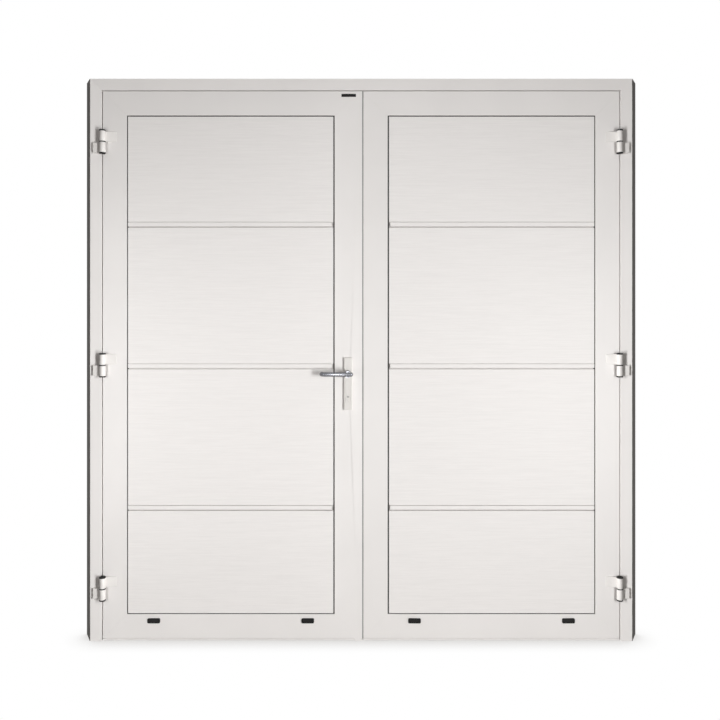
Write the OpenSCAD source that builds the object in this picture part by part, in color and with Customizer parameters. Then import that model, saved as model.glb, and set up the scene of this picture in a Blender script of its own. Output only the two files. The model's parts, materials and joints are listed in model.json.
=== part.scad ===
// Double utility door with its frame: two aluminium leaves that open outward.
// X runs along the width, Y from outside (negative) to inside, Z up from the floor.

/* [Frame] */
// Width of the frame across the jambs
frame_w = 2125; // [1900:5:2600]
// Height of the frame
frame_h = 2204; // [2000:1:2500]
// Depth of the frame and leaf profiles
profile_d = 60; // [54:1:70]
// Visible face of the jambs and the header
frame_face = 45; // [40:1:60]
// How far the stop reaches past the frame face
stop_w = 14; // [12:1:16]
// Depth of the stop at the back of the frame
stop_t = 15; // [12:1:18]
// Wall of all extruded profiles
wall = 2.2; // [1.8:0.1:2.6]
// Width of the slanted wall strips at the back of the jambs
flank_w = 36; // [20:1:50]
// Thickness of the wall strips at the front of the jambs
flank_lip = 1.2; // [0.8:0.1:3]
// Radius of the frame anchor holes
anchor_r = 5.25; // [4:0.25:6]
// Distance between the outer pair of anchor holes in a jamb
anchor_outer = 1600; // [1400:10:1700]
// Distance between the inner pair of anchor holes in a jamb
anchor_inner = 560; // [300:10:800]
// Front edge of the threshold, behind the frame's face
threshold_set = 15; // [10:1:20]
// Thickness of the threshold's base plate
threshold_t = 3; // [2:0.5:4]

/* [Leaves] */
// Gap between a jamb and a leaf
leaf_gap = 5; // [3:0.5:6]
// Gap between the header and a leaf
top_gap = 4; // [3:0.5:6]
// Gap under the leaf profiles
floor_gap = 10; // [9:0.5:14]
// Visible face of the stiles and rails
leaf_face = 95; // [90:1:110]
// Lip of the stiles and rails that covers the edge of the infill
lip_w = 20; // [17:0.5:22]
// Thickness of that lip
lip_t = 4; // [3:0.5:5]
// Place of the inner web of the stiles and rails
web_u = 60; // [59:0.5:61]
// Width of the meeting profile on the left leaf
meeting_w = 13; // [12:0.5:16]
// Gap between the leaves
meeting_gap = 5; // [5:0.5:6]
// Edge wall of the meeting profile
meeting_edge = 4.5; // [4:0.25:5]
// Play at the soft meeting lip
seal_play = 0.3; // [0.3:0.05:0.6]
// Play of pieces that are set into one another
fit = 0.3; // [0.2:0.05:0.4]
// Length of the corner cleats' legs
cleat_len = 90; // [60:5:120]

/* [Infill] */
// Thickness of the infill sections
panel_t = 42; // [40:0.5:44]
// How far the infill stands proud of the leaf
panel_proud = 4.5; // [3:0.5:6]
// Shadow gap around the infill
panel_gap = 5; // [4:0.5:7]
// How far the infill's edge runs behind the lip
panel_cover = 15; // [12:0.5:16]
// Thickness of the gasket behind the lip
gasket_t = 4; // [3:0.5:5]
// Depth of the shadow gap down to the gasket
gasket_set = 2; // [1:0.5:2.5]
// Distance between the joints of the sections
section_pitch = 554.5; // [500:0.5:580]
// How far the middle joint lies below mid-height
joint_drop = 14.5; // [0:0.5:40]
// Open height of a joint at the front
joint_gap = 3.5; // [2:0.25:4]
// Height of the raised band above a joint
band_h = 16.5; // [12:0.5:24]
// How far the band stands proud of the section
band_proud = 0.8; // [0.4:0.1:1.5]
// Fine groove above the band
band_line = 1.6; // [1:0.1:2]
// Depth of that groove, from the section's face
band_line_t = 8; // [2:0.5:10]
// How far the band stops short at the lock side
band_short = 5; // [3:0.5:8]
// Tongue of a section, its width
tongue_w = 12; // [8:0.5:16]
// Tongue of a section, its height
tongue_h = 8; // [5:0.5:12]
// Width of the beads that hold the infill from inside
bead_w = 22; // [18:0.5:26]

/* [Hinges] */
// Distance between the hinges
hinge_pitch = 871; // [800:1:900]
// Pin axis, in from the leaf's edge
pin_in = 4.5; // [3:0.25:6]
// Pin axis, in front of the leaf's face
pin_out = 16; // [15:0.5:18]
// Radius of the hinge pins
pin_r = 5; // [4:0.25:6]
// Running clearance of the pins
pin_play = 0.04; // [0.02:0.01:0.08]
// Radius of the knuckles
knuckle_r = 11.5; // [10.5:0.25:12.5]
// Height of one knuckle
knuckle_h = 40; // [34:1:50]
// Height of the washer between the knuckles
washer_h = 4; // [2:0.5:5]
// Height of the end caps
hinge_cap_h = 5; // [3:0.5:8]
// How far caps and washers stand out from the knuckles
hinge_cap_out = 0.8; // [0.4:0.1:1.2]
// Reach of the leaf knuckle's plate, from the pin
leaf_flag = 49; // [40:1:60]
// Thickness of that plate at the knuckle
leaf_flag_root = 8; // [5:0.5:10]
// Thickness of that plate at its end
leaf_flag_t = 1.5; // [1:0.25:3]
// Reach of the frame knuckle's plate, from the pin
frame_flag = 40; // [34:1:44]
// Thickness of that plate
frame_flag_t = 10; // [4:0.5:12]

/* [Lock and handles] */
// Height of the handle's axis
handle_z = 1050; // [950:5:1100]
// Distance from the handle's axis down to the cylinder
cylinder_drop = 92; // [88:0.5:96]
// Distance from the lock's edge to the handle's axis
backset = 55; // [53:0.5:57]
// Width of the handle plates
plate_w = 32; // [30:0.5:40]
// Height of the handle plates
plate_h = 204; // [190:1:240]
// How far the plate reaches above the handle's axis
plate_rise = 61; // [50:1:70]
// Thickness of the handle plates
plate_t = 10; // [8:0.5:12]
// Chamfer around the handle plates
plate_cut = 1.2; // [0.5:0.1:2]
// Radius of the lever's bar
bar_r = 8.3; // [7:0.1:9.5]
// Radius of the lever's neck
neck_r = 12.5; // [9.5:0.1:13]
// Length of the lever's neck, plate to bar axis
neck_len = 44; // [40:1:55]
// Running gap between the neck of the lever and its plate
lever_play = 0.2; // [0.1:0.05:0.4]
// Radius of the neck's spigot in the plate
spigot_r = 8; // [7.5:0.1:8.5]
// Reach of the lever, from its axis to its tip
lever_reach = 110; // [95:0.5:125]
// How far the bar runs past the neck
heel = 12; // [6:0.5:14]
// Bend radius of the lever's tip
bend_r = 14; // [12:0.5:18]
// Straight end of the lever behind the bend
return_len = 12; // [6:1:18]
// Side of the square spindle
spindle_w = 8; // [7:0.5:9]
// Thickness of the lock case
case_t = 16; // [15:0.5:18]
// Reach of the lock case behind the handle's axis
case_back = 16; // [14:0.5:16.5]
// Reach of the lock case above the handle's axis
case_rise = 40; // [34:1:50]
// Reach of the lock case below the cylinder
case_fall = 49; // [40:1:60]
// Width of the lock's forend
forend_w = 22; // [20:0.5:24]
// Thickness of the lock's forend
forend_t = 3; // [2.5:0.25:3.5]
// How far the forend runs past the case at each end
forend_more = 34; // [26:1:44]
// Thickness of latch and dead bolt
bolt_t = 11; // [9:0.5:12]
// Height of the latch
latch_h = 32; // [28:1:36]
// Length of the latch
latch_len = 33; // [28:1:36]
// Travel of the latch
latch_throw = 12; // [10:0.5:14]
// Height of the dead bolt
dead_h = 34; // [28:1:36]
// Length of the dead bolt
dead_len = 34; // [30:1:36]
// Height of the dead bolt's middle above the cylinder
dead_rise = 44; // [42:1:48]
// Travel of the dead bolt
dead_throw = 20; // [16:1:22]
// Radius of the cylinder's round part
cyl_r = 8.5; // [8:0.1:9]
// Width of the cylinder's lower part
cyl_w = 10; // [9:0.25:11]
// Height of the whole cylinder
cyl_h = 33; // [31:0.5:35]
// How far the cylinder stands out of the plates
cyl_out = 1; // [0.5:0.25:3]
// Radius of the cylinder's core
core_r = 6.4; // [5.8:0.1:6.8]
// Reach of the cam
cam_reach = 15; // [13:0.25:15.5]
// Width of the cam
cam_w = 9.4; // [8:0.2:9.6]
// Length of the key slot
key_l = 9; // [7:0.5:10]
// Width of the key slot
key_w = 2.6; // [2:0.1:3]
// Thickness of the strike plate
strike_t = 2; // [1.5:0.25:2]
// Height of the strike plate
strike_h = 170; // [150:1:200]

/* [Flush bolts] */
// Radius of the bolt rods
rod_r = 6; // [5:0.25:7]
// Place of the rods, in from the leaf's edge
rod_u = 34; // [30:0.5:40]
// Length of the rods
rod_len = 320; // [260:10:420]
// Travel of the rods
rod_throw = 18; // [12:1:20]
// How far a drawn-in rod stays below the leaf's edge
rod_set = 1; // [0.5:0.25:2]
// Width of the thumb pieces
thumb_w = 8; // [6:0.5:10]
// Height of the thumb pieces
thumb_h = 16; // [12:1:24]
// How far the thumb pieces stand out
thumb_out = 1.2; // [0.8:0.1:1.5]
// Wall of the keep bushes
bush_t = 2.5; // [2:0.25:3]
// Flange of the keep bushes
bush_flange = 4; // [3:0.5:6]
// Thickness of that flange
bush_flange_t = 1.5; // [1:0.25:2]
// Depth of the top keep bush
bush_h = 14; // [8:1:20]

/* [Small pieces] */
// Width of the drain caps
drain_w = 49; // [40:1:60]
// Height of the drain caps
drain_h = 19; // [14:1:24]
// How far the drain caps stand out
drain_t = 4; // [3:0.5:6]
// Shell of the drain caps
drain_wall = 1.5; // [1:0.25:2]
// Height of the drain caps above the leaf's lower edge
drain_z = 70; // [50:1:75]
// Distance of the drain caps from the infill's side edges
drain_in = 105; // [80:1:140]
// Height of the strip under a leaf
drip_h = 5.5; // [4:0.25:6.5]
// Depth of the strip under a leaf
drip_t = 6; // [4:0.5:8]
// Open line above that strip
drip_line = 1; // [0.5:0.1:1.5]
// Reach of the meeting foot under the left lock stile
foot_w = 16; // [10:0.5:24]
// Depth of the meeting foot
foot_t = 13; // [8:0.5:14]
// Play of the meeting foot above the floor
foot_play = 0.5; // [0.3:0.1:1]
// Depth of the meeting seal
meeting_seal_t = 3; // [2:0.25:4]
// How far the meeting seal lies behind the face
meeting_seal_set = 1.5; // [1:0.25:2.5]
// Width of the stop seal
stop_seal_w = 7; // [5:0.5:8]

/* [Hidden] */
$fn = 48;

// Colours as the eye sees them
white = [0.93, 0.92, 0.91];
grain_white = [0.95, 0.94, 0.93];
dark_grey = [0.3, 0.3, 0.29];
black = [0.06, 0.06, 0.06];
satin = [0.82, 0.82, 0.8];
zinc = [0.62, 0.63, 0.65];

// Overlap of cutting shapes past the faces that they cut
past = 1;

// Frame lines
front = -profile_d / 2;
back = profile_d / 2;
frame_x = frame_w / 2;
jamb_in = frame_x - frame_face;
header_z = frame_h - frame_face;
stop_front = back - stop_t;
frame_mid_z = frame_h / 2;
anchor_zs = [for (d = [anchor_outer, anchor_inner], s = [-1, 1]) frame_mid_z + s * d / 2];

// Leaf lines
leaf_out = jamb_in - leaf_gap;
leaf_in = (meeting_w + meeting_gap) / 2;
leaf_xc = (leaf_out + leaf_in) / 2;
leaf_w = leaf_out - leaf_in;
leaf_z0 = floor_gap;
leaf_z1 = header_z - top_gap;
leaf_zc = (leaf_z0 + leaf_z1) / 2;
leaf_h = leaf_z1 - leaf_z0;
box_w = leaf_face - lip_w;
step_u = stop_w;
stop_gap = 3;
step_v = profile_d - stop_t - stop_gap;
upstand_h = leaf_z0 + step_u - top_gap;
lock_x = meeting_w - leaf_in;

// Infill lines
open_out = leaf_out - leaf_face;
open_in = leaf_in + leaf_face;
open_z0 = leaf_z0 + leaf_face;
open_z1 = leaf_z1 - leaf_face;
panel_v = lip_t + gasket_t;
panel_back_v = panel_t - panel_proud;
sections = 4;
last = sections - 1;
edge_cut = 1.5;
function joint_z(i) = leaf_zc - joint_drop + (i - sections / 2) * section_pitch;

// Hinge lines
pin_x = leaf_out - pin_in;
pin_y = front - pin_out;
hinge_zs = [for (i = [-1:1]) leaf_zc + i * hinge_pitch];
knuckle_foot = washer_h / 2;

// Lock lines
spindle_x = lock_x - backset;
cyl_z = handle_z - cylinder_drop;
plate_z1 = handle_z + plate_rise;
plate_z0 = plate_z1 - plate_h;
plate_y = front - plate_t;
bar_y = plate_y - neck_len;
case_z0 = cyl_z - case_fall;
case_z1 = handle_z + case_rise;
forend_z0 = case_z0 - forend_more;
forend_z1 = case_z1 + forend_more;
case_x0 = spindle_x - case_back;
case_x1 = lock_x - forend_t;
dead_z = cyl_z + dead_rise;
cam_room = cam_reach + past;
strike_z = (handle_z + dead_z) / 2;

// Flush bolt lines
rod_x = leaf_in + rod_u;
rod_y = front + profile_d / 2;

module left_and_right() {
    children();
    mirror([1, 0, 0]) children();
}

module across(y0, y1) {
    translate([0, y1, 0]) rotate([90, 0, 0]) linear_extrude(y1 - y0) children();
}

// Profile with mitred ends: u runs along X, the depth along Y, the length along Z
module mitred(len, reach, trim = 0) {
    half = len / 2 - trim;
    intersection() {
        linear_extrude(len, center = true) children();
        across(-past, profile_d + past)
            polygon([[0, -half], [0, half], [reach, half - reach], [reach, reach - half]]);
    }
}

// Places on the left leaf, with u measured inward from the leaf's edge
module on_edge(edge) {
    if (edge == "hinge") translate([-leaf_out, front, leaf_zc]) children();
    if (edge == "lock") translate([-leaf_in, front, leaf_zc]) mirror([1, 0, 0]) children();
    if (edge == "top") translate([-leaf_xc, front, leaf_z1]) rotate([0, 90, 0]) children();
    if (edge == "bottom") translate([-leaf_xc, front, leaf_z0]) rotate([0, -90, 0]) children();
}

function edge_len(edge) = (edge == "hinge" || edge == "lock") ? leaf_h : leaf_w;

module edge_bar(edge, reach, trim = 0) {
    on_edge(edge) mitred(edge_len(edge), reach, trim) children();
}

// Frame
module frame_section() {
    difference() {
        union() {
            square([frame_face, profile_d]);
            translate([0, profile_d - stop_t]) square([frame_face + stop_w, stop_t]);
        }
        translate([wall, wall]) square([frame_face - 2 * wall, profile_d - 2 * wall]);
        translate([frame_face, profile_d - stop_t + wall]) square([stop_w - wall, stop_t - 2 * wall]);
    }
}

module jamb() {
    reach = frame_face + stop_w;
    color(white) difference() {
        translate([-frame_x, front, 0]) intersection() {
            linear_extrude(frame_h) frame_section();
            across(-past, profile_d + past)
                polygon([[0, 0], [0, frame_h], [reach, frame_h - reach], [reach, 0]]);
        }
        anchor_cuts(anchor_r);
    }
}

module anchor_cuts(r) {
    for (z = anchor_zs)
        translate([-frame_x - flank_w - past, -profile_d / 6, z])
            rotate([0, 90, 0]) cylinder(r = r, h = flank_w + frame_face + 2 * past);
}

module left_jamb() {
    jamb();
}

module right_jamb() {
    mirror([1, 0, 0]) jamb();
}

module header() {
    reach = frame_face + stop_w;
    color(white) difference() {
        translate([0, front, frame_h]) rotate([0, 90, 0]) mitred(frame_w, reach) frame_section();
        translate([rod_x, rod_y, header_z - past]) cylinder(r = keep_r(), h = wall + 2 * past);
    }
}

function keep_r() = rod_r + fit + bush_t;

module threshold() {
    color(white) difference() {
        union() {
            translate([0, front + threshold_set, 0]) across_x(jamb_in)
                square([profile_d - threshold_set - stop_t, threshold_t]);
            translate([0, stop_front, 0]) across_x(jamb_in - stop_w) difference() {
                square([stop_t, upstand_h]);
                translate([wall, threshold_t])
                    square([stop_t - 2 * wall, upstand_h - wall - threshold_t]);
            }
        }
        translate([rod_x, rod_y, -past]) cylinder(r = keep_r(), h = threshold_t + 2 * past);
    }
}

// A section in Y and Z, drawn out to both sides of X = 0
module across_x(half) {
    rotate([90, 0, 90]) linear_extrude(2 * half, center = true) children();
}

module wall_strip() {
    color(dark_grey) difference() {
        translate([-frame_x, front, 0]) linear_extrude(frame_h)
            polygon([[0, 0], [-flank_lip, 0], [-flank_w, profile_d], [0, profile_d]]);
        anchor_cuts(anchor_r);
    }
}

module left_wall_strip() {
    wall_strip();
}

module right_wall_strip() {
    mirror([1, 0, 0]) wall_strip();
}

// Rubber lip on the stop, just clear of the step of the closed leaves
module stop_seals() {
    seal_t = stop_gap - fit;
    side_x = jamb_in - stop_w;
    low = upstand_h;
    high = header_z - stop_w;
    color(black) translate([0, stop_front - seal_t, 0]) {
        left_and_right() translate([-side_x - stop_seal_w, 0, low - stop_seal_w])
            cube([stop_seal_w, seal_t, high - low + 2 * stop_seal_w]);
        translate([-side_x, 0, high]) cube([2 * side_x, seal_t, stop_seal_w]);
        translate([-side_x, 0, low - stop_seal_w]) cube([2 * side_x, seal_t, stop_seal_w]);
    }
}

// L-shaped block between the chamber lines a and b of a mitred corner
module cleat(a, b, len) {
    across(front + wall + fit, back - wall - fit)
        polygon([[a, -a], [a + len, -a], [a + len, -b], [b, -b], [b, -a - len], [a, -a - len]]);
}

module frame_cleats() {
    color(zinc) left_and_right() translate([-frame_x, 0, frame_h])
        cleat(wall + fit, frame_face - wall - fit, cleat_len);
}

module leaf_cleats() {
    color(zinc) translate([-leaf_xc, 0, leaf_zc]) left_and_right() for (up = [0, 1])
        mirror([0, 0, 1 - up]) translate([-leaf_w / 2, 0, leaf_h / 2])
            cleat(web_u + wall + fit, box_w - wall - fit, cleat_len);
}

// Leaf profiles: box with chambers, a step at the back for the stop, a lip over the infill
module leaf_section(stepped) {
    step = stepped ? step_u : 0;
    shelf = stepped ? step_v : profile_d;
    difference() {
        union() {
            translate([step, 0]) square([box_w - step, profile_d]);
            square([box_w, shelf]);
            square([leaf_face, lip_t]);
        }
        translate([wall, wall]) square([web_u - wall, shelf - 2 * wall]);
        translate([web_u + wall, wall]) square([box_w - web_u - 2 * wall, profile_d - 2 * wall]);
        if (stepped)
            translate([step + wall, shelf]) square([web_u - step - wall, profile_d - shelf - wall]);
    }
}

// Room for the stop of the header and the threshold behind the lock-side pieces
module stop_cuts(x0, x1) {
    for (z = [leaf_z0 - past, leaf_z1 - step_u])
        translate([x0 - past, front + step_v, z])
            cube([x1 - x0 + 2 * past, profile_d, step_u + past]);
}

module hinge_stile() {
    color(white) edge_bar("hinge", leaf_face) leaf_section(true);
}

module lock_stile() {
    difference() {
        edge_bar("lock", leaf_face) leaf_section(false);
        stop_cuts(-leaf_in - leaf_face, -leaf_in);
    }
}

module top_rail() {
    edge_bar("top", leaf_face) leaf_section(true);
}

module bottom_rail() {
    difference() {
        edge_bar("bottom", leaf_face) leaf_section(true);
        for (x = drain_xs()) translate([-x, front - past, leaf_z0 + drain_z])
            cube([drain_w / 2, 2 * (wall + past), drain_h / 3], center = true);
    }
}

function drain_xs() = [open_out - drain_in, open_in + drain_in];

module rod_cut(z) {
    translate([rod_x, rod_y, z - wall - past]) cylinder(r = rod_r + fit, h = 2 * (wall + past));
}

module left_hinge_stile() {
    hinge_stile();
}

module right_hinge_stile() {
    mirror([1, 0, 0]) hinge_stile();
}

module left_lock_stile() {
    color(white) difference() {
        lock_stile();
        lock_cuts();
    }
}

module right_lock_stile() {
    color(white) difference() {
        mirror([1, 0, 0]) lock_stile();
        bolt_cuts(leaf_in - past, leaf_in + wall + past);
        for (up = [0, 1]) thumb_slot(up);
    }
}

module left_top_rail() {
    color(white) top_rail();
}

module right_top_rail() {
    color(white) difference() {
        mirror([1, 0, 0]) top_rail();
        rod_cut(leaf_z1);
    }
}

module left_bottom_rail() {
    color(white) bottom_rail();
}

module right_bottom_rail() {
    color(white) difference() {
        mirror([1, 0, 0]) bottom_rail();
        rod_cut(leaf_z0);
    }
}

module left_cleats() {
    leaf_cleats();
}

module right_cleats() {
    mirror([1, 0, 0]) leaf_cleats();
}

// Infill sections of the left leaf, counted from the floor
module section_body(i) {
    low = i == 0 ? open_z0 - panel_cover : joint_z(i);
    high = i == last ? open_z1 + panel_cover : joint_z(i + 1);
    y0 = front + panel_v;
    y1 = front + panel_back_v;
    tongue_y = (y0 + y1) / 2;
    x0 = -open_out - panel_cover;
    len = open_out - open_in + 2 * panel_cover;
    difference() {
        union() {
            translate([x0, y0, low]) cube([len, y1 - y0, high - low]);
            if (i < last)
                translate([x0, tongue_y - tongue_w / 2, high - past])
                    cube([len, tongue_w, tongue_h + past]);
        }
        if (i > 0)
            translate([x0 - past, tongue_y - tongue_w / 2 - fit, low - past])
                cube([len + 2 * past, tongue_w + 2 * fit, tongue_h + fit + past]);
    }
}

// Raised face of a section, with its band, fine groove and cut edges
module section_face(i) {
    low = i == 0 ? open_z0 + panel_gap : joint_z(i) + joint_gap / 2;
    high = i == last ? open_z1 - panel_gap : joint_z(i + 1) - joint_gap / 2;
    root = front + panel_v;
    face = front - panel_proud;
    band = face - band_proud;
    line = low + band_h;
    groove = face + band_line_t;
    x0 = -open_out + panel_gap;
    x1 = -open_in - panel_gap;
    plain = [[face + edge_cut, low], [face, low + edge_cut]];
    banded = [
        [band + edge_cut, low], [band, low + edge_cut], [band, line], [groove, line],
        [groove, line + band_line], [face, line + band_line]
    ];
    top = [[face, high - edge_cut], [face + edge_cut, high], [root + past, high]];
    difference() {
        translate([(x0 + x1) / 2, 0, 0]) across_x((x1 - x0) / 2)
            polygon(concat([[root + past, low]], i == 0 ? plain : banded, top));
        if (i > 0)
            translate([x1 - band_short, band - past, low - past])
                cube([band_short + past, root - band + past, band_h + past]);
    }
}

module panel_section(i) {
    color(grain_white) union() {
        section_body(i);
        section_face(i);
    }
}

module left_panel_1() {
    panel_section(0);
}

module left_panel_2() {
    panel_section(1);
}

module left_panel_3() {
    panel_section(2);
}

module left_panel_4() {
    panel_section(3);
}

module right_panel_1() {
    mirror([1, 0, 0]) panel_section(0);
}

module right_panel_2() {
    mirror([1, 0, 0]) panel_section(1);
}

module right_panel_3() {
    mirror([1, 0, 0]) panel_section(2);
}

module right_panel_4() {
    mirror([1, 0, 0]) panel_section(3);
}

// Gasket behind the lip, with a nose that shows in the shadow gap
module gasket() {
    reach = leaf_face + panel_gap;
    color(black) for (edge = ["hinge", "lock", "top", "bottom"]) edge_bar(edge, reach) {
        translate([leaf_face - panel_cover, lip_t]) square([panel_cover + panel_gap - fit, gasket_t]);
        translate([leaf_face + fit, gasket_set])
            square([panel_gap - 2 * fit, lip_t - gasket_set + past]);
    }
}

module left_gasket() {
    gasket();
}

module right_gasket() {
    mirror([1, 0, 0]) gasket();
}

// Hollow beads that press the infill against the gasket from inside
module beads() {
    depth = profile_d - panel_back_v;
    color(white) for (edge = ["hinge", "lock", "top", "bottom"])
        edge_bar(edge, box_w + bead_w, fit / 2) translate([box_w, panel_back_v]) difference() {
            square([bead_w, depth]);
            translate([wall, wall]) square([bead_w - 2 * wall, depth - 2 * wall]);
        }
}

module left_beads() {
    beads();
}

module right_beads() {
    mirror([1, 0, 0]) beads();
}

// Strip under a leaf: a face, and a key behind it that carries it on the rail
module drip(x0, x1) {
    high = leaf_z0 - drip_line;
    color(white) translate([(x0 + x1) / 2, front, 0]) across_x((x1 - x0) / 2)
        polygon([
            [0, high - drip_h], [drip_t / 2, high - drip_h], [drip_t, high - drip_h / 2],
            [drip_t, leaf_z0], [drip_t / 2, leaf_z0], [drip_t / 2, high], [0, high]
        ]);
}

module left_drip_strip() {
    drip(-leaf_out, -leaf_in - foot_w);
}

module right_drip_strip() {
    drip(leaf_in, leaf_out);
}

module rounded(w, h, r) {
    square([w, h - 2 * r], center = true);
    square([w - 2 * r, h], center = true);
    for (x = [-1, 1], y = [-1, 1]) translate([x * (w / 2 - r), y * (h / 2 - r)]) circle(r);
}

// Hooded caps over the drain slots, open at the bottom
module drain_caps() {
    r = drain_h / 4;
    color(black) for (x = drain_xs()) translate([-x, 0, leaf_z0 + drain_z]) difference() {
        across(front - drain_t, front) rounded(drain_w, drain_h, r);
        across(front - drain_t + drain_wall, front + past)
            rounded(drain_w - 2 * drain_wall, drain_h - 2 * drain_wall, r - drain_wall);
        translate([0, front, -drain_h / 2])
            cube([drain_w / 2, 2 * (drain_t - drain_wall), 4 * drain_wall], center = true);
    }
}

module left_drain_caps() {
    drain_caps();
}

module right_drain_caps() {
    mirror([1, 0, 0]) drain_caps();
}

// Hinges of the left side: pin axis at X = 0 and Y = 0, the leaf towards +X
module at_hinges() {
    for (z = hinge_zs) translate([-pin_x, pin_y, z]) children();
}

module pin_bore() {
    circle(pin_r + pin_play);
}

module leaf_knuckle() {
    end = [leaf_flag, pin_out - leaf_flag_t];
    root = pin_out - leaf_flag_root;
    seat = -pin_in / 2;
    translate([0, 0, knuckle_foot]) linear_extrude(knuckle_h) difference() {
        union() {
            circle(knuckle_r);
            polygon([[seat, root], [knuckle_r, root], end, [leaf_flag, pin_out], [seat, pin_out]]);
        }
        pin_bore();
    }
}

module frame_knuckle() {
    edge = -pin_in - leaf_gap;
    top = pin_out - frame_flag_t;
    shoulder = edge - frame_flag_t;
    translate([0, 0, -knuckle_foot - knuckle_h]) linear_extrude(knuckle_h) difference() {
        union() {
            circle(knuckle_r);
            polygon([
                [-frame_flag, top], [shoulder, top], [-knuckle_r, 0], [0, 0],
                [edge + leaf_gap / 2, knuckle_r / 2], [edge, pin_out], [-frame_flag, pin_out]
            ]);
        }
        pin_bore();
    }
}

module left_leaf_knuckles() {
    color(white) at_hinges() leaf_knuckle();
}

module right_leaf_knuckles() {
    color(white) mirror([1, 0, 0]) at_hinges() leaf_knuckle();
}

module left_frame_knuckles() {
    color(white) at_hinges() frame_knuckle();
}

module right_frame_knuckles() {
    color(white) mirror([1, 0, 0]) at_hinges() frame_knuckle();
}

module hinge_pins() {
    half = knuckle_foot + knuckle_h;
    color(zinc) left_and_right() at_hinges() cylinder(r = pin_r, h = 2 * half, center = true);
}

module hinge_washers() {
    color(black) left_and_right() at_hinges() translate([0, 0, -knuckle_foot])
        linear_extrude(washer_h) difference() {
            circle(knuckle_r + hinge_cap_out);
            pin_bore();
        }
}

// Cap with a cut rim, closed towards +Z
module hinge_cap() {
    r = knuckle_r + hinge_cap_out;
    rim = hinge_cap_h / 4;
    translate([0, 0, knuckle_foot + knuckle_h]) rotate_extrude()
        polygon([[0, 0], [r, 0], [r, hinge_cap_h - rim], [r - rim, hinge_cap_h], [0, hinge_cap_h]]);
}

module left_hinge_caps() {
    color(black) at_hinges() hinge_cap();
}

module right_hinge_caps() {
    color(black) mirror([1, 0, 0]) at_hinges() hinge_cap();
}

module hinge_foot_caps() {
    color(black) left_and_right() at_hinges() mirror([0, 0, 1]) hinge_cap();
}

// Meeting profile on the lock edge of the left leaf
module meeting_profile() {
    color(white) difference() {
        translate([-leaf_in, front, leaf_z0]) linear_extrude(leaf_h) difference() {
            square([meeting_w, profile_d]);
            translate([wall, wall]) square([meeting_w - wall - meeting_edge, profile_d - 2 * wall]);
        }
        stop_cuts(-leaf_in, lock_x);
        lock_cuts();
    }
}

module meeting_seal() {
    tip = meeting_gap - seal_play;
    color(black) translate([lock_x, front + meeting_seal_set, leaf_z0])
        linear_extrude(leaf_h) polygon([
            [0, 0], [tip - meeting_seal_t / 2, 0], [tip, meeting_seal_t / 2],
            [tip - meeting_seal_t / 2, meeting_seal_t], [0, meeting_seal_t]
        ]);
}

module meeting_foot() {
    color(white) translate([-leaf_in - foot_w, front, foot_play])
        cube([foot_w + meeting_w, foot_t, leaf_z0 - foot_play]);
}

// Lock
module cylinder_outline(play) {
    translate([spindle_x, cyl_z]) {
        circle(cyl_r + play);
        translate([-cyl_w / 2 - play, cyl_r - cyl_h + cyl_w / 2])
            square([cyl_w + 2 * play, cyl_h - cyl_r - cyl_w / 2]);
        translate([0, cyl_r - cyl_h + cyl_w / 2]) circle(cyl_w / 2 + play);
    }
}

// Pocket for the lock, and the holes for spindle and cylinder in both walls
module lock_cuts() {
    translate([case_x0 - fit, -case_t / 2 - fit, case_z0 - fit])
        cube([lock_x + past - case_x0 + fit, case_t + 2 * fit, case_z1 - case_z0 + 2 * fit]);
    translate([case_x1, -forend_w / 2 - fit, forend_z0 - fit])
        cube([forend_t + past, forend_w + 2 * fit, forend_z1 - forend_z0 + 2 * fit]);
    across(front - past, back + past) {
        translate([spindle_x, handle_z]) circle(spigot_r + past);
        cylinder_outline(past);
    }
}

// Rectangular channel of a bolt that slides along X
module channel(x0, x1, z, h) {
    translate([x0, -bolt_t / 2 - fit, z - h / 2 - fit]) cube([x1 - x0, bolt_t + 2 * fit, h + 2 * fit]);
}

module bolt_cuts(x0, x1) {
    channel(x0, x1, handle_z, latch_h);
    channel(x0, x1, dead_z, dead_h);
}

module lock_case() {
    color(zinc) difference() {
        union() {
            translate([case_x0, -case_t / 2, case_z0])
                cube([case_x1 - case_x0, case_t, case_z1 - case_z0]);
            translate([case_x1, -forend_w / 2, forend_z0])
                cube([forend_t, forend_w, forend_z1 - forend_z0]);
        }
        channel(lock_x - latch_len - fit, lock_x + past, handle_z, latch_h);
        channel(lock_x - dead_len - fit, lock_x + past, dead_z, dead_h);
        across(-case_t, case_t) {
            translate([spindle_x, handle_z]) circle(spigot_r);
            cylinder_outline(fit);
        }
        across(-cam_w / 2 - fit, cam_w / 2 + fit) translate([spindle_x, cyl_z]) circle(cam_room);
    }
}

// Latch with its slanted nose, drawn in flush with the forend
module latch_bolt() {
    nose = latch_throw - past;
    tail = bolt_t / 6;
    color(zinc) translate([lock_x, 0, handle_z - latch_h / 2]) linear_extrude(latch_h)
        polygon([
            [-latch_len, -bolt_t / 2], [0, -bolt_t / 2], [0, tail - bolt_t / 2],
            [-nose, bolt_t / 2], [-latch_len, bolt_t / 2]
        ]);
}

module dead_bolt() {
    color(zinc) translate([lock_x - dead_len, -bolt_t / 2, dead_z - dead_h / 2])
        cube([dead_len, bolt_t, dead_h]);
}

module cylinder_body() {
    half = back + plate_t + cyl_out;
    color(satin) difference() {
        across(-half, half) cylinder_outline(0);
        across(-half - past, half + past) translate([spindle_x, cyl_z]) circle(core_r + pin_play);
        translate([spindle_x - cam_room, -cam_w / 2 - fit, cyl_z - cam_room])
            cube([2 * cam_room, cam_w + 2 * fit, 2 * cam_room]);
    }
}

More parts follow.
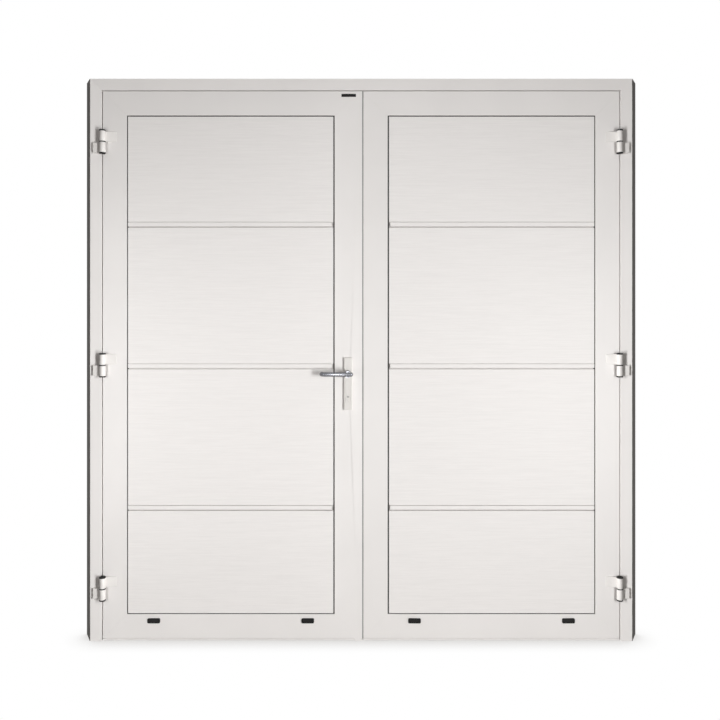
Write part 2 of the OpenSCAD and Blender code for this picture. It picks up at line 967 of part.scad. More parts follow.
module cylinder_core() {
    half = back + plate_t + cyl_out;
    color(satin) translate([spindle_x, 0, cyl_z]) difference() {
        union() {
            across(-half, half) circle(core_r);
            across(-cam_w / 2, cam_w / 2) {
                circle(cyl_r);
                intersection() {
                    circle(cam_reach);
                    translate([-cam_w / 2, -cam_reach]) square([cam_w, cam_reach]);
                }
            }
        }
        for (side = [-1, 1]) translate([0, side * half, 0])
            cube([key_l, 2 * key_l, key_w], center = true);
    }
}

// Handle plate with chamfered edges, on the outside
module plate_blank() {
    cut = plate_cut;
    h = plate_z1 - plate_z0;
    intersection() {
        translate([spindle_x, front, plate_z0]) linear_extrude(h)
            polygon([
                [-plate_w / 2, 0], [-plate_w / 2, cut - plate_t], [cut - plate_w / 2, -plate_t],
                [plate_w / 2 - cut, -plate_t], [plate_w / 2, cut - plate_t], [plate_w / 2, 0]
            ]);
        translate([spindle_x, front, plate_z0]) across_x(plate_w)
            polygon([[0, 0], [cut - plate_t, 0], [-plate_t, cut], [-plate_t, h - cut], [cut - plate_t, h], [0, h]]);
    }
}

module plate() {
    color(satin) difference() {
        plate_blank();
        across(plate_y - past, front + past) {
            translate([spindle_x, handle_z]) circle(spigot_r + pin_play);
            cylinder_outline(fit);
        }
    }
}

module outer_plate() {
    plate();
}

module inner_plate() {
    mirror([0, 1, 0]) plate();
}

// Lever: spigot, neck, straight bar with a round heel, tip bent back to the leaf
module lever() {
    bend_x = spindle_x - lever_reach + bend_r + bar_r;
    heel_x = spindle_x + heel;
    color(satin) difference() {
        translate([0, 0, handle_z]) {
            translate([spindle_x, plate_y - lever_play, 0]) rotate([90, 0, 0])
                cylinder(r = neck_r, h = neck_len - lever_play);
            translate([spindle_x, front, 0]) rotate([90, 0, 0]) cylinder(r = spigot_r, h = plate_t + past);
            translate([bend_x, bar_y, 0]) rotate([0, 90, 0]) cylinder(r = bar_r, h = heel_x - bend_x);
            translate([heel_x, bar_y, 0]) sphere(r = bar_r);
            translate([bend_x, bar_y + bend_r, 0]) rotate([0, 0, 180])
                rotate_extrude(angle = 90) translate([bend_r, 0]) circle(bar_r);
            translate([bend_x - bend_r, bar_y + bend_r, 0]) rotate([-90, 0, 0])
                cylinder(r = bar_r, h = return_len);
            translate([bend_x - bend_r, bar_y + bend_r + return_len, 0]) sphere(r = bar_r);
        }
        spindle_bar(pin_play, plate_t + neck_len / 2);
    }
}

// Square bar along Y that reaches past both faces of the leaf
module spindle_bar(play, reach) {
    w = spindle_w + 2 * play;
    translate([spindle_x, 0, handle_z]) cube([w, profile_d + 2 * reach, w], center = true);
}

module outer_lever() {
    lever();
}

module inner_lever() {
    mirror([0, 1, 0]) lever();
}

module spindle() {
    color(zinc) spindle_bar(0, plate_t + neck_len / 2);
}

// Right leaf: strike plate on its lock edge
module strike_plate() {
    color(zinc) difference() {
        translate([leaf_in - strike_t, -forend_w / 2, strike_z - strike_h / 2])
            cube([strike_t, forend_w, strike_h]);
        bolt_cuts(leaf_in - strike_t - past, leaf_in + past);
    }
}

// Flush bolts of the right leaf, drawn in; up is 1 for the top one
function rod_end(up) = up ? leaf_z1 - rod_set : leaf_z0 + rod_set;
function rod_z0(up) = up ? rod_end(1) - rod_len : rod_end(0);
function thumb_z(up) = up ? rod_z0(1) : rod_z0(0) + rod_len - thumb_h;

module thumb_slot(up) {
    z = up ? thumb_z(1) : thumb_z(0) - rod_throw;
    translate([leaf_in - past, rod_y - thumb_w / 2 - fit, z - fit])
        cube([wall + 2 * past, thumb_w + 2 * fit, thumb_h + rod_throw + 2 * fit]);
}

module flush_bolt(up) {
    color(zinc) {
        translate([rod_x, rod_y, rod_z0(up)]) cylinder(r = rod_r, h = rod_len);
        translate([leaf_in - thumb_out, rod_y - thumb_w / 2, thumb_z(up)])
            cube([rod_u + thumb_out, thumb_w, thumb_h]);
    }
}

module top_bolt() {
    flush_bolt(1);
}

module bottom_bolt() {
    flush_bolt(0);
}

// Flanged bush that takes a bolt rod, its flange towards -Z
module keep_bush(h) {
    rotate_extrude() polygon([
        [rod_r + fit, -bush_flange_t], [keep_r() + bush_flange, -bush_flange_t],
        [keep_r() + bush_flange, 0], [keep_r(), 0], [keep_r(), h], [rod_r + fit, h]
    ]);
}

module bolt_keeps() {
    color(zinc) translate([rod_x, rod_y, 0]) {
        translate([0, 0, header_z]) keep_bush(bush_h);
        translate([0, 0, threshold_t]) mirror([0, 0, 1]) keep_bush(threshold_t);
    }
}

left_jamb();
right_jamb();
header();
threshold();
left_wall_strip();
right_wall_strip();
stop_seals();
frame_cleats();
left_frame_knuckles();
right_frame_knuckles();
hinge_pins();
hinge_washers();
hinge_foot_caps();
bolt_keeps();
left_hinge_stile();
left_lock_stile();
left_top_rail();
left_bottom_rail();
left_cleats();
left_panel_1();
left_panel_2();
left_panel_3();
left_panel_4();
left_gasket();
left_beads();
left_drip_strip();
left_drain_caps();
left_leaf_knuckles();
left_hinge_caps();
meeting_profile();
meeting_seal();
meeting_foot();
lock_case();
outer_plate();
inner_plate();
cylinder_body();
outer_lever();
inner_lever();
spindle();
latch_bolt();
dead_bolt();
cylinder_core();
right_hinge_stile();
right_lock_stile();
right_top_rail();
right_bottom_rail();
right_cleats();
right_panel_1();
right_panel_2();
right_panel_3();
right_panel_4();
right_gasket();
right_beads();
right_drip_strip();
right_drain_caps();
right_leaf_knuckles();
right_hinge_caps();
strike_plate();
top_bolt();
bottom_bolt();
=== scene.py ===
import json
import math

import bmesh
import bpy
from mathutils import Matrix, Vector


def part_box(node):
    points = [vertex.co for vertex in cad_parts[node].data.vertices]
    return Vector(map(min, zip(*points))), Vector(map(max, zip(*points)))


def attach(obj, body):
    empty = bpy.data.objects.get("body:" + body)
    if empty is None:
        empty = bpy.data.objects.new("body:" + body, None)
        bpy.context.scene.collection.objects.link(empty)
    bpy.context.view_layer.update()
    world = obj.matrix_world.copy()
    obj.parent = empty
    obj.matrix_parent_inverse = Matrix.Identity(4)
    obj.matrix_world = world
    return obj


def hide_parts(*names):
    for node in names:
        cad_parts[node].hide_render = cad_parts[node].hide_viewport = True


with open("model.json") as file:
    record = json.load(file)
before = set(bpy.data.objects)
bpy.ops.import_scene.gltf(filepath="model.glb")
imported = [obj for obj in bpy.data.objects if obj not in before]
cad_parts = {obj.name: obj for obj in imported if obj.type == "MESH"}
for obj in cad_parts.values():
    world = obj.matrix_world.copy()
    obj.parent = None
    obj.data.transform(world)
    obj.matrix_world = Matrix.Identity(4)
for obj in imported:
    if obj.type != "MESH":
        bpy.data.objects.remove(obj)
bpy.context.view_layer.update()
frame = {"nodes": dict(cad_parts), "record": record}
nodes = frame["nodes"]
mm = 0.001
print("frame loaded:", len(nodes), "nodes")


# colours are written as sRGB hex and used as linear values
def hexColour(code):
    parts = [int(code[i:i + 2], 16) / 255 for i in (0, 2, 4)]
    return [c / 12.92 if c <= 0.04045 else ((c + 0.055) / 1.055) ** 2.4 for c in parts] + [1.0]


# adds one node, sets its properties and fills or links its inputs
def addNode(tree, kind, inputs=None, **settings):
    made = tree.nodes.new(kind)
    for key, value in settings.items():
        setattr(made, key, value)
    for key, value in (inputs or {}).items():
        if isinstance(value, bpy.types.NodeSocket):
            tree.links.new(value, made.inputs[key])
        else:
            made.inputs[key].default_value = value
    return made


def newMaterial(name):
    material = bpy.data.materials.new(name)
    material.use_nodes = True
    material.node_tree.nodes.clear()
    return material, material.node_tree


def surfaceOut(tree, shader):
    addNode(tree, "ShaderNodeOutputMaterial", {"Surface": shader.outputs["BSDF"]})


# two close tones, mixed by a pattern between 0 and 1
def toneRamp(tree, factor, darkHex, lightHex, low=0.3, high=0.7):
    ramp = addNode(tree, "ShaderNodeValToRGB", {"Fac": factor})
    ramp.color_ramp.elements[0].position = low
    ramp.color_ramp.elements[1].position = high
    ramp.color_ramp.elements[0].color = hexColour(darkHex)
    ramp.color_ramp.elements[1].color = hexColour(lightHex)
    return ramp.outputs["Color"]


# powder coat on extruded aluminium: an even satin white with a fine orange-peel skin
# the hinges take the same coat painted a shade greyer, as painted shade that keeps them from showing
# brighter where they face the lamps
coat = {"dark": "E9E6E4", "light": "EDEAE8", "roughness": 0.52, "peelMm": 1.6, "peelDeepMm": 0.05,
        "cloudMm": 260}
hingeShadedCoat = {"dark": "DDDAD7", "light": "E1DEDB", "roughness": 0.52, "peelMm": 1.6, "peelDeepMm": 0.05,
             "cloudMm": 40}


def powderCoat(name, look):
    material, tree = newMaterial(name)
    place = addNode(tree, "ShaderNodeTexCoord").outputs["Object"]
    cloud = addNode(tree, "ShaderNodeTexNoise",
                    {"Vector": place, "Scale": 1000 / look["cloudMm"], "Detail": 2.0})
    peel = addNode(tree, "ShaderNodeTexNoise",
                   {"Vector": place, "Scale": 1000 / look["peelMm"], "Detail": 1.0})
    skin = addNode(tree, "ShaderNodeBump", {"Height": peel.outputs["Fac"], "Strength": 0.12,
                                            "Distance": look["peelDeepMm"] * mm})
    shader = addNode(tree, "ShaderNodeBsdfPrincipled", {
        "Base Color": toneRamp(tree, cloud.outputs["Fac"], look["dark"], look["light"]),
        "Roughness": look["roughness"], "IOR": 1.5, "Normal": skin.outputs["Normal"]})
    surfaceOut(tree, shader)
    return material


# embossed coated sheet: wood grain pressed along the width, seen as faint level streaks
# the grain is drawn a little coarser than the real half millimetre, so that it shows
grain = {"dark": "EAE7E5", "light": "F0EDEB", "roughness": 0.55, "lengthMm": 190, "widthMm": 6.0,
         "fineLengthMm": 60, "fineWidthMm": 1.6, "depthMm": 0.35}


def embossedSheet():
    material, tree = newMaterial("white_embossed_sheet")
    place = addNode(tree, "ShaderNodeTexCoord").outputs["Object"]
    streaks = []
    for length, width in (("lengthMm", "widthMm"), ("fineLengthMm", "fineWidthMm")):
        scale = (1000 / grain[length], 1000 / grain[length], 1000 / grain[width])
        drawn = addNode(tree, "ShaderNodeMapping", {"Vector": place, "Scale": scale})
        streaks.append(addNode(tree, "ShaderNodeTexNoise",
                               {"Vector": drawn.outputs["Vector"], "Scale": 1.0, "Detail": 3.0,
                                "Roughness": 0.6, "Distortion": 0.5}).outputs["Fac"])
    both = addNode(tree, "ShaderNodeMath", {0: streaks[0], 1: streaks[1]}, operation="ADD")
    half = addNode(tree, "ShaderNodeMath", {0: both.outputs[0], 1: 0.5}, operation="MULTIPLY")
    press = addNode(tree, "ShaderNodeBump", {"Height": half.outputs[0], "Strength": 0.6,
                                             "Distance": grain["depthMm"] * mm})
    shader = addNode(tree, "ShaderNodeBsdfPrincipled", {
        "Base Color": toneRamp(tree, half.outputs[0], grain["dark"], grain["light"], 0.35, 0.62),
        "Roughness": grain["roughness"], "IOR": 1.5, "Normal": press.outputs["Normal"]})
    surfaceOut(tree, shader)
    return material


# extruded EPDM: matt near-black with a faint dusty bloom
rubber = {"dark": "1A1A1A", "light": "262625", "roughness": 0.75, "bloomMm": 14}
greyLip = {"dark": "90908E", "light": "9A9A98", "roughness": 0.7, "bloomMm": 14}


def sealRubber(name, look):
    material, tree = newMaterial(name)
    place = addNode(tree, "ShaderNodeTexCoord").outputs["Object"]
    bloom = addNode(tree, "ShaderNodeTexNoise",
                    {"Vector": place, "Scale": 1000 / look["bloomMm"], "Detail": 4.0})
    shader = addNode(tree, "ShaderNodeBsdfPrincipled", {
        "Base Color": toneRamp(tree, bloom.outputs["Fac"], look["dark"], look["light"]),
        "Roughness": look["roughness"], "IOR": 1.5, "Specular IOR Level": 0.25})
    surfaceOut(tree, shader)
    return material


# closed-cell foam strip: dull dark grey with small open cells on its cut face
foam = {"dark": "636160", "light": "6E6C6A", "roughness": 0.9, "cellMm": 2.2, "dentMm": 0.3}


def jointFoam():
    material, tree = newMaterial("grey_joint_foam")
    place = addNode(tree, "ShaderNodeTexCoord").outputs["Object"]
    cells = addNode(tree, "ShaderNodeTexVoronoi", {"Vector": place, "Scale": 1000 / foam["cellMm"]})
    dents = addNode(tree, "ShaderNodeBump", {"Height": cells.outputs["Distance"], "Strength": 0.3,
                                             "Distance": foam["dentMm"] * mm})
    shader = addNode(tree, "ShaderNodeBsdfPrincipled", {
        "Base Color": toneRamp(tree, cells.outputs["Distance"], foam["dark"], foam["light"], 0.1, 0.6),
        "Roughness": foam["roughness"], "IOR": 1.4, "Specular IOR Level": 0.1,
        "Normal": dents.outputs["Normal"]})
    surfaceOut(tree, shader)
    return material


# moulded polyamide: deep black with a low, even sheen from the mould's fine texture
polyamide = {"dark": "0E0D0D", "light": "171616", "roughness": 0.6, "gritMm": 0.8, "gritDeepMm": 0.05}


def mouldedBlack():
    material, tree = newMaterial("black_moulded_polyamide")
    place = addNode(tree, "ShaderNodeTexCoord").outputs["Object"]
    grit = addNode(tree, "ShaderNodeTexNoise",
                   {"Vector": place, "Scale": 1000 / polyamide["gritMm"], "Detail": 2.0})
    skin = addNode(tree, "ShaderNodeBump", {"Height": grit.outputs["Fac"], "Strength": 0.2,
                                            "Distance": polyamide["gritDeepMm"] * mm})
    shader = addNode(tree, "ShaderNodeBsdfPrincipled", {
        "Base Color": toneRamp(tree, grit.outputs["Fac"], polyamide["dark"], polyamide["light"]),
        "Roughness": polyamide["roughness"], "IOR": 1.53, "Specular IOR Level": 0.2,
        "Normal": skin.outputs["Normal"]})
    surfaceOut(tree, shader)
    return material


# anodised aluminium, pale and nearly matt; stainless steel, painted dark, as painted shade for the darker
# surroundings it would mirror, with a sheen drawn out along the lever; zinc plate, dull and cloudy: each
# with its brush lines or cloud, in millimetres
metals = {
    "anodised_plate": {"dark": "D6D3CF", "light": "DEDBD7", "roughness": 0.5, "metallic": 0.15,
                       "line": (0.9, 0.9, 30), "depth": 0.02},
    # the lever's dark base is painted shade for the surroundings it would mirror
    "stainless_lever_painted_dark": {"dark": "6E6F73", "light": "7C7D81", "roughness": 0.22, "metallic": 1.0,
                              "line": (30, 0.7, 0.7), "depth": 0.005, "stretch": 0.95},
    "zinc_plated_steel": {"dark": "8F9296", "light": "A9ACAF", "roughness": 0.38, "metallic": 1.0,
                          "line": (9, 9, 9), "depth": 0.03},
}


def brushedMetal(name):
    look = metals[name]
    material, tree = newMaterial(name)
    place = addNode(tree, "ShaderNodeTexCoord").outputs["Object"]
    drawn = addNode(tree, "ShaderNodeMapping",
                    {"Vector": place, "Scale": tuple(1000 / size for size in look["line"])})
    brush = addNode(tree, "ShaderNodeTexNoise",
                    {"Vector": drawn.outputs["Vector"], "Scale": 1.0, "Detail": 4.0})
    lines = addNode(tree, "ShaderNodeBump", {"Height": brush.outputs["Fac"], "Strength": 0.25,
                                             "Distance": look["depth"] * mm})
    shader = addNode(tree, "ShaderNodeBsdfPrincipled", {
        "Base Color": toneRamp(tree, brush.outputs["Fac"], look["dark"], look["light"]),
        "Metallic": look["metallic"], "Roughness": look["roughness"],
        "Anisotropic": look.get("stretch", 0.0), "Normal": lines.outputs["Normal"]})
    if "stretch" in look:
        around = addNode(tree, "ShaderNodeTangent", direction_type="RADIAL", axis="X")
        tree.links.new(around.outputs["Tangent"], shader.inputs["Tangent"])
    surfaceOut(tree, shader)
    return material


finishes = {
    "white_coat": powderCoat("white_powder_coat", coat),
    "infill_skin": embossedSheet(),
    "seal_rubber": sealRubber("black_seal_rubber", rubber),
    "grey_seal": sealRubber("grey_seal_rubber", greyLip),
    "wall_strip": jointFoam(),
    "black_plastic": mouldedBlack(),
    "satin_steel": brushedMetal("anodised_plate"),
    "zinc_steel": brushedMetal("zinc_plated_steel"),
}
leverFinish = brushedMetal("stainless_lever_painted_dark")
# the hinges' coat is the white coat painted a shade greyer: painted shade
hingeShadedFinish = powderCoat("white_hinge_painted_shade", hingeShadedCoat)
ownFinish = {"outer_lever": leverFinish, "inner_lever": leverFinish}
ownFinish.update({name: hingeShadedFinish for name in nodes if name.endswith("_knuckles")})

# edges of the solids are eased as the real ones are, in millimetres
easedEdge = {"white_coat": 0.5, "infill_skin": 0.4, "black_plastic": 0.6, "satin_steel": 0.5,
             "zinc_steel": 0.3}
easing = {"mergeMm": 0.005, "segments": 2, "sharper": 35}  # eased where sharper than this, in degrees


def dressNode(name, slotName):
    part = nodes[name]
    part.data.materials.clear()
    part.data.materials.append(ownFinish.get(name, finishes[slotName]))
    if slotName in easedEdge:
        weld = part.modifiers.new("weld", "WELD")
        weld.merge_threshold = easing["mergeMm"] * mm
        ease = part.modifiers.new("ease", "BEVEL")
        ease.width = easedEdge[slotName] * mm
        ease.segments = easing["segments"]
        ease.limit_method = "ANGLE"
        ease.angle_limit = math.radians(easing["sharper"])
        ease.harden_normals = False


for entry in frame["record"]["subparts"]:
    dressNode(entry["node"], entry["material_slot"])
print("finishes set on the solids")

addedPieces = []
smoothBelow = 32  # degrees between faces that still shade as one


# new pieces are built in the frame's place, in metres
def addPiece(name, build, body, slotName, *standsFor):
    bmesh.ops.recalc_face_normals(build, faces=build.faces[:])
    mesh = bpy.data.meshes.new(name)
    build.to_mesh(mesh)
    build.free()
    mesh.shade_smooth()
    mesh.set_sharp_from_angle(angle=math.radians(smoothBelow))
    mesh.materials.append(finishes[slotName])
    piece = bpy.data.objects.new(name, mesh)
    bpy.context.scene.collection.objects.link(piece)
    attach(piece, body)
    addedPieces.append((piece, body))
    if standsFor:
        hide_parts(*standsFor)


# closed loop of edges through the points
def loopOf(build, points):
    corners = [build.verts.new(point) for point in points]
    return [build.edges.new((corners[i - 1], corners[i])) for i in range(len(corners))]


# outline of a plate with round corners, drawn about its middle
def roundedOutline(wide, high, radius, steps=6):
    points = []
    for turn, (sideX, sideY) in enumerate(((1, 1), (-1, 1), (-1, -1), (1, -1))):
        for step in range(steps + 1):
            angle = math.radians(90 * (turn + step / steps))
            points.append((sideX * (wide / 2 - radius) + radius * math.cos(angle),
                           sideY * (high / 2 - radius) + radius * math.sin(angle)))
    return points


# a place to build on: the middle of a face, with its own right, up and outward directions
def onFace(middle, right, up):
    right, up = Vector(right), Vector(up)
    out = right.cross(up)
    return lambda u, v, w=0.0: Vector(middle) + right * u + up * v + out * w


# plate with eased rim and, where a slot is given, a window through it
def addPlate(build, place, outline, thick, ease, window=None):
    shrink = [1 - ease / max(abs(point[axis]) for point in outline) for axis in (0, 1)]
    rim = loopOf(build, [place(u, v) for u, v in outline])
    wall = loopOf(build, [place(u, v, thick - ease) for u, v in outline])
    face = loopOf(build, [place(u * shrink[0], v * shrink[1], thick) for u, v in outline])
    bmesh.ops.bridge_loops(build, edges=rim + wall)
    bmesh.ops.bridge_loops(build, edges=wall + face)
    if window:
        mouth = loopOf(build, [place(u, v, thick) for u, v in window])
        foot = loopOf(build, [place(u, v) for u, v in window])
        bmesh.ops.bridge_loops(build, edges=mouth + foot)
        face = face + mouth
    bmesh.ops.triangle_fill(build, edges=face, use_beauty=True)


# raised countersunk screw with a cross recess; its profile gives shares of the head and of the rise
screw = {"head": 3.4, "rise": 0.7, "ring": 28, "crossLong": 1.9, "crossHalf": 0.42, "crossFoot": 0.8,
         "deep": 0.6, "profile": ((1.0, 0.0), (0.97, 0.3), (0.86, 0.72), (0.72, 1.0))}


def addScrew(build, place):
    turns = [2 * math.pi * i / screw["ring"] for i in range(screw["ring"])]
    rings = []
    for share, rise in screw["profile"]:
        radius = screw["head"] * mm * share
        rings.append(loopOf(build, [
            place(radius * math.cos(turn), radius * math.sin(turn), screw["rise"] * mm * rise)
            for turn in turns]))
    for low, high in zip(rings, rings[1:]):
        bmesh.ops.bridge_loops(build, edges=low + high)
    arm, half = screw["crossLong"] * mm, screw["crossHalf"] * mm
    cross = []
    for quarter in range(4):
        for u, v in ((arm, -half), (arm, half), (half, half)):
            for step in range(quarter):
                u, v = -v, u
            cross.append((u, v))
    mouth = loopOf(build, [place(u, v, screw["rise"] * mm) for u, v in cross])
    small, deep = screw["crossFoot"], (screw["rise"] - screw["deep"]) * mm
    foot = loopOf(build, [place(u * small, v * small, deep) for u, v in cross])
    bmesh.ops.triangle_fill(build, edges=rings[-1] + mouth, use_beauty=True)
    bmesh.ops.bridge_loops(build, edges=mouth + foot)
    bmesh.ops.triangle_fill(build, edges=foot, use_beauty=True)


# blank dark plate on the left leaf's top rail
blank = {"wide": 57, "high": 12, "thick": 0.8, "corner": 1.5, "ease": 0.25, "fromSide": 39.6,
         "fromTop": 16.3}


def addBlankPlate():
    low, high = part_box("left_top_rail")
    middle = (high.x - blank["fromSide"] * mm, low.y, high.z - blank["fromTop"] * mm)
    build = bmesh.new()
    outline = roundedOutline(blank["wide"] * mm, blank["high"] * mm, blank["corner"] * mm)
    addPlate(build, onFace(middle, (1, 0, 0), (0, 0, 1)), outline, blank["thick"] * mm,
             blank["ease"] * mm)
    addPiece("blank_plate", build, "left_leaf", "black_plastic")


# screws that hold the lock's forend, the strike plate and the inner handle plate
screwInset = {"forend": 14, "strike": 16, "plate": 11}


def addLockScrews():
    low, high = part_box("lock_case")
    build = bmesh.new()
    for z in (low.z + screwInset["forend"] * mm, high.z - screwInset["forend"] * mm):
        addScrew(build, onFace((high.x, (low.y + high.y) / 2, z), (0, 1, 0), (0, 0, 1)))
    addPiece("forend_screws", build, "left_leaf", "zinc_steel")
    low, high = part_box("strike_plate")
    build = bmesh.new()
    for z in (low.z + screwInset["strike"] * mm, high.z - screwInset["strike"] * mm):
        addScrew(build, onFace((low.x, (low.y + high.y) / 2, z), (0, -1, 0), (0, 0, 1)))
    addPiece("strike_screws", build, "right_leaf", "zinc_steel")
    low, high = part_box("inner_plate")
    build = bmesh.new()
    for z in (low.z + screwInset["plate"] * mm, high.z - screwInset["plate"] * mm):
        addScrew(build, onFace(((low.x + high.x) / 2, high.y, z), (-1, 0, 0), (0, 0, 1)))
    addPiece("inner_plate_screws", build, "left_leaf", "satin_steel")


# painted shade in the key slots: dark plates set just below their mouths stand in for the shade of slots
# much deeper than they are wide
keyway = {"long": 8.8, "wide": 2.4, "corner": 0.8, "arcSteps": 4, "sunk": 0.7, "thick": 0.4, "ease": 0.1,
          "bodyRadius": 8.5}


def addKeywayShade():
    low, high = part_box("cylinder_body")
    x, z = (low.x + high.x) / 2, high.z - keyway["bodyRadius"] * mm
    sunk = (keyway["sunk"] + keyway["thick"]) * mm
    outline = roundedOutline(keyway["long"] * mm, keyway["wide"] * mm, keyway["corner"] * mm,
                             keyway["arcSteps"])
    build = bmesh.new()
    for side, y in ((1, low.y + sunk), (-1, high.y - sunk)):
        addPlate(build, onFace((x, y, z), (side, 0, 0), (0, 0, 1)), outline, keyway["thick"] * mm,
                 keyway["ease"] * mm)
    # the dark plates are painted shade, given the moulded black finish
    addPiece("keyway_painted_shade", build, "key_core", "black_plastic")


# face plates of the flush bolts, with the slot that the thumb piece runs in
boltFace = {"wide": 20, "high": 120, "thick": 1.0, "corner": 9.8, "ease": 0.25, "thumbOut": 1.2,
            "thumbHigh": 16, "travel": 18, "slotWide": 9.4, "slotMore": 1.6, "slotCorner": 1.5,
            "arcSteps": 4, "screwAt": 46}


def addBoltFace(name, bolt, upward):
    low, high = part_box(bolt)
    halfRun = (boltFace["thumbHigh"] + boltFace["travel"]) / 2 * mm
    z = low.z + halfRun if upward else high.z - halfRun
    edge = low.x + boltFace["thumbOut"] * mm
    place = onFace((edge, 0, z), (0, -1, 0), (0, 0, 1))
    build = bmesh.new()
    slotHigh = 2 * halfRun + boltFace["slotMore"] * mm
    window = roundedOutline(boltFace["slotWide"] * mm, slotHigh, boltFace["slotCorner"] * mm,
                            boltFace["arcSteps"])
    outline = roundedOutline(boltFace["wide"] * mm, boltFace["high"] * mm, boltFace["corner"] * mm)
    addPlate(build, place, outline, boltFace["thick"] * mm, boltFace["ease"] * mm, window)
    for side in (-1, 1):
        addScrew(build, onFace(place(0, side * boltFace["screwAt"] * mm, boltFace["thick"] * mm),
                               (0, -1, 0), (0, 0, 1)))
    addPiece(name, build, "right_leaf", "zinc_steel")


# stop seal: a foot with a soft hollow bulb, drawn round the opening with mitred corners
bulb = {"wide": 7.0, "foot": 0.9, "bulbHalf": 2.5, "steps": 14}


def addStopSeal():
    low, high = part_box("stop_seals")
    deep = (high.y - low.y) / mm
    section = [(0, 0), (0, bulb["foot"])]
    for step in range(bulb["steps"] + 1):
        angle = math.pi * (1 - step / bulb["steps"])
        section.append((bulb["wide"] / 2 + bulb["bulbHalf"] * math.cos(angle),
                        bulb["foot"] + (deep - bulb["foot"]) * math.sin(angle)))
    section += [(bulb["wide"], bulb["foot"]), (bulb["wide"], 0)]
    build = bmesh.new()
    loops = []
    for u, v in section:
        inset, y = u * mm, high.y - v * mm
        corners = ((low.x + inset, low.z + inset), (high.x - inset, low.z + inset),
                   (high.x - inset, high.z - inset), (low.x + inset, high.z - inset))
        loops.append(loopOf(build, [(x, y, z) for x, z in corners]))
    for i in range(len(loops)):
        bmesh.ops.bridge_loops(build, edges=loops[i - 1] + loops[i])
    addPiece("bulb_seal", build, "frame", "seal_rubber", "stop_seals")


addBlankPlate()
addLockScrews()
addKeywayShade()
addBoltFace("top_bolt_face", "top_bolt", True)
addBoltFace("bottom_bolt_face", "bottom_bolt", False)
addStopSeal()
print("small pieces added")

# camera: straight on, at the photograph's height, with a small downward shift
shot = {"frontMm": 30, "distance": 2.744, "height": 1.325, "sensor": 36, "lens": 35.0,
        "shiftX": -0.00158, "shiftY": -0.0792}
cameraData = bpy.data.cameras.new("camera")
cameraData.sensor_width = shot["sensor"]
cameraData.lens = shot["lens"]
cameraData.shift_x = shot["shiftX"]
cameraData.shift_y = shot["shiftY"]
camera = bpy.data.objects.new("camera", cameraData)
camera.location = (0, -shot["frontMm"] * mm - shot["distance"], shot["height"])
camera.rotation_euler = (math.radians(90), 0, 0)
bpy.context.scene.collection.objects.link(camera)
bpy.context.scene.camera = camera

# light: the jambs and hinges take low light from two tall strip boxes, each lighting the far side,
# so that the hinges throw their shadows outwards; the leaves would turn to face those, so the left
# one, with the lock, takes a box from the right and a little from the left, and the rest two soft
# boxes; a small box for the top, a soft box behind the door, and a narrow card whose sheen runs
# along the outer lever
lamps = {
    "right_strip_box": {"at": (1.2, -2.13, 0.9), "turn": 79, "wide": 0.5, "high": 1.75, "spread": 120,
                        "power": 83.5, "only": "jambs"},
    "left_strip_box": {"at": (-1.2, -2.13, 0.9), "turn": -87, "wide": 0.5, "high": 1.75, "spread": 120,
                       "power": 116.5, "only": "jambs"},
    "right_soft_box": {"at": (1.6, -2.2, 0.9), "turn": 45, "wide": 0.5, "high": 1.2, "spread": 170,
                       "power": 33.4, "only": "rest"},
    "left_soft_box": {"at": (-1.6, -2.2, 0.9), "turn": -45, "wide": 0.5, "high": 1.2, "spread": 170,
                      "power": 30.6, "only": "rest"},
    "lock_box": {"at": (1.6, -2.2, 0.9), "turn": 55, "wide": 0.5, "high": 1.2, "spread": 165,
                 "power": 58.3, "only": "left"},
    "edge_box": {"at": (-1.5, -2.2, 0.9), "turn": 0, "wide": 0.5, "high": 1.2, "spread": 100,
                 "power": 8.0, "only": "left"},
    "top_box": {"at": (0, -2.2, 2.9), "turn": 0, "tilt": 21, "wide": 0.8, "high": 0.3, "spread": 70,
                "power": 0.5},
    "back_box": {"at": (0, 3.2, 1.25), "turn": 180, "wide": 2.2, "high": 1.6, "spread": 110, "power": 23.0},
    "sheen_card": {"at": (-0.2, -2.9, 0.82), "turn": 0, "wide": 0.14, "high": 1.6, "spread": 180,
                   "power": 16.0, "only": "lever"},
}
leftBodies = ("left_leaf", "handle", "latch", "lock_bolt", "key_core")
litParts = {"jambs": [], "left": [], "rest": [], "lever": [nodes["outer_lever"]]}


def lightGroup(name, body):
    if name.endswith(("_jamb", "_knuckles")):
        return "jambs"
    return "left" if body in leftBodies else "rest"


for body, names in frame["record"]["behaviour"]["bodies"].items():
    for name in names:
        litParts[lightGroup(name, body)].append(nodes[name])
for piece, body in addedPieces:
    litParts[lightGroup(piece.name, body)].append(piece)


def addLamp(name):
    look = lamps[name]
    lampData = bpy.data.lights.new(name, "AREA")
    lampData.shape = "RECTANGLE"
    lampData.size = look["wide"]
    lampData.size_y = look["high"]
    lampData.energy = look["power"]
    lampData.spread = math.radians(look["spread"])
    lamp = bpy.data.objects.new(name, lampData)
    lamp.location = look["at"]
    lamp.rotation_euler = (math.radians(90 - look.get("tilt", 0)), 0, math.radians(look["turn"]))
    lamp.visible_camera = False
    bpy.context.scene.collection.objects.link(lamp)
    if "only" in look:
        lit = bpy.data.collections.new(name + "_lights")
        for part in litParts[look["only"]]:
            lit.objects.link(part)
        lamp.light_linking.receiver_collection = lit


for name in lamps:
    addLamp(name)

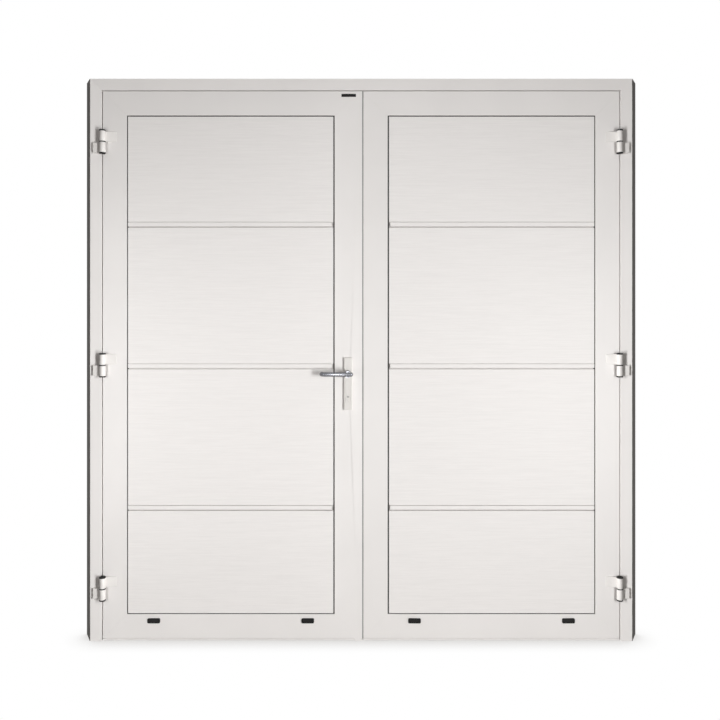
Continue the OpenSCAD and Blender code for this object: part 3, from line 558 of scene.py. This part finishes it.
# world: white where the eye or a reflection looks, a soft grey fill for the rest
fill = {"grey": "787674"}
world = bpy.data.worlds.new("studio")
bpy.context.scene.world = world
world.use_nodes = True
air = world.node_tree
air.nodes.clear()
rays = addNode(air, "ShaderNodeLightPath").outputs
seen = addNode(air, "ShaderNodeMath", {0: rays["Is Camera Ray"], 1: rays["Is Glossy Ray"]},
               operation="MAXIMUM")
seenAll = addNode(air, "ShaderNodeMath", {0: seen.outputs[0], 1: rays["Is Transmission Ray"]},
                  operation="MAXIMUM")
fillLight = addNode(air, "ShaderNodeBackground", {"Color": hexColour(fill["grey"]), "Strength": 1.0})
whiteSky = addNode(air, "ShaderNodeBackground", {"Color": (1, 1, 1, 1), "Strength": 1.0})
skyMix = addNode(air, "ShaderNodeMixShader", {0: seenAll.outputs[0],
                                              1: fillLight.outputs[0], 2: whiteSky.outputs[0]})
addNode(air, "ShaderNodeOutputWorld", {"Surface": skyMix.outputs[0]})

# floor: white to the eye with a painted soft contact shadow close to the door, pale to the light
floorLook = {"half": 9.0, "belowMm": 0.5, "pale": "E4E2DF", "reach": 0.1, "shade": "DAD8D6"}
floorMesh = bpy.data.meshes.new("floor")
build = bmesh.new()
bmesh.ops.create_grid(build, x_segments=1, y_segments=1, size=floorLook["half"])
build.to_mesh(floorMesh)
build.free()
floor = bpy.data.objects.new("floor", floorMesh)
floor.location = (0, 0, -floorLook["belowMm"] * mm)
bpy.context.scene.collection.objects.link(floor)
floorFinish, ground = newMaterial("pale_floor")
paths = addNode(ground, "ShaderNodeLightPath").outputs
looked = addNode(ground, "ShaderNodeMath", {0: paths["Is Camera Ray"], 1: paths["Is Glossy Ray"]},
                 operation="MAXIMUM")
matt = addNode(ground, "ShaderNodeBsdfDiffuse", {"Color": hexColour(floorLook["pale"])})
# painted contact shadow: the floor's white is darkened by occlusion within reach of the door
paintedContactShadow = addNode(ground, "ShaderNodeAmbientOcclusion", {"Distance": floorLook["reach"]}, samples=8)
glow = addNode(ground, "ShaderNodeEmission", {
    "Color": toneRamp(ground, paintedContactShadow.outputs["AO"], floorLook["shade"], "FFFFFF", 0.4, 0.95),
    "Strength": 1.0})
floorMix = addNode(ground, "ShaderNodeMixShader", {0: looked.outputs[0], 1: matt.outputs[0],
                                                   2: glow.outputs[0]})
addNode(ground, "ShaderNodeOutputMaterial", {"Surface": floorMix.outputs[0]})
floor.data.materials.append(floorFinish)
print("camera, light and floor set")

bpy.context.scene.view_settings.view_transform = "Standard"
